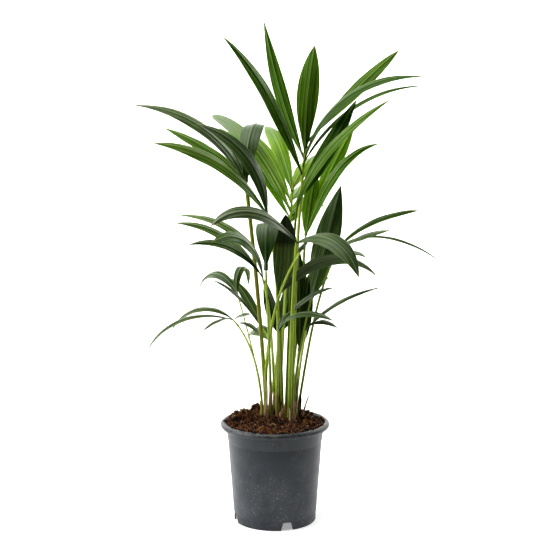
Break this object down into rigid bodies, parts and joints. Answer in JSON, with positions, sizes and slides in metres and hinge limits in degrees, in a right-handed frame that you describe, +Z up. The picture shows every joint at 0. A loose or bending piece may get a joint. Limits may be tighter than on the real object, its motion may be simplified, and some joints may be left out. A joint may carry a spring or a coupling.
{
  "type": "kentia palm",
  "caption": "Young kentia palm: a clump of feather-leaved seedlings standing in compost in a plain tapered nursery pot.",
  "frame": {"origin": "centre of the pot's flat underside, on the ground", "axes": "+Z up along the pot's axis; +Y towards the back of the plant; +X to the right seen from the front"},
  "size_m": [0.4778, 0.35, 0.7804],
  "materials": {
    "pot": "moulded, faintly ribbed and dusty",
    "compost": "moist bark and coir fibre",
    "stem": "green and tan leaf sheaths",
    "stalk": "smooth, satin",
    "frond": "leathery, satin"
  },
  "bodies": {
    "root": {"pot": "pot", "compost": "compost", "stem_1": "stem", "stem_2": "stem", "stem_3": "stem", "stem_4": "stem", "stem_5": "stem", "stalk_tall": "stalk", "frond_tall": "frond", "stalk_inner_right": "stalk", "frond_inner_right": "frond", "stalk_back_right": "stalk", "frond_back_right": "frond", "stalk_back_bright": "stalk", "frond_back_bright": "frond", "stalk_high_left": "stalk", "frond_high_left": "frond", "stalk_middle_left": "stalk", "frond_middle_left": "frond", "stalk_curled": "stalk", "frond_curled": "frond", "stalk_dark_upright": "stalk", "frond_dark_upright": "frond", "stalk_front": "stalk", "frond_front": "frond", "stalk_curved_front": "stalk", "frond_curved_front": "frond", "stalk_lower_left": "stalk", "frond_lower_left": "frond", "stalk_hook_left": "stalk", "frond_hook_left": "frond", "stalk_small_left": "stalk", "frond_small_left": "frond", "stalk_low_left": "stalk", "frond_low_left": "frond", "stalk_dark_broad": "stalk", "frond_dark_broad": "frond", "stalk_far_right": "stalk", "frond_far_right": "frond", "stalk_spear": "stalk", "frond_spear": "frond", "stalk_small_front": "stalk", "frond_small_front": "frond", "stalk_small_right": "stalk", "frond_small_right": "frond", "stalk_dark_low": "stalk", "frond_dark_low": "frond"}
  },
  "joints": []
}
